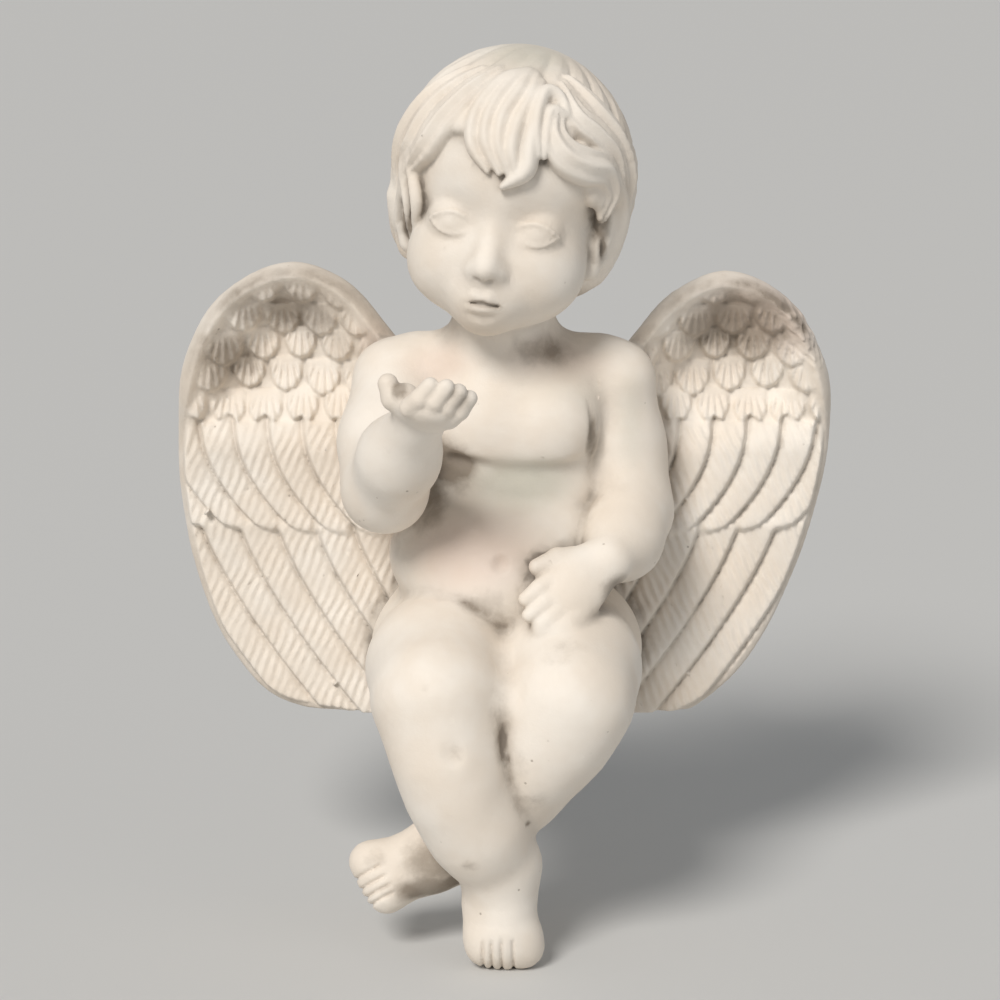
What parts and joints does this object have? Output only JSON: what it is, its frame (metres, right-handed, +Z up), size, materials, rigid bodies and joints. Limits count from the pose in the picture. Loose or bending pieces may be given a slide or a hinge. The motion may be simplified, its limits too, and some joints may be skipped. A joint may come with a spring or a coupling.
{
  "type": "seated cherub shelf figure",
  "caption": "Winged infant figure cast in one piece, sitting on a shelf's edge with crossed legs hanging over it, one palm held out and the other hand on its thigh.",
  "frame": {"origin": "on the flat underside of the seat, between the hips", "axes": "+Z up, -Y the way the figure faces, +X its own left; the legs hang below Z = 0 in front of the shelf's edge"},
  "size_m": [0.144, 0.0848, 0.1909],
  "materials": {
    "stone": "matt, warm off-white cast stone, with brown-grey dirt in the hollows"
  },
  "bodies": {
    "root": {"putto": "stone"}
  },
  "joints": []
}
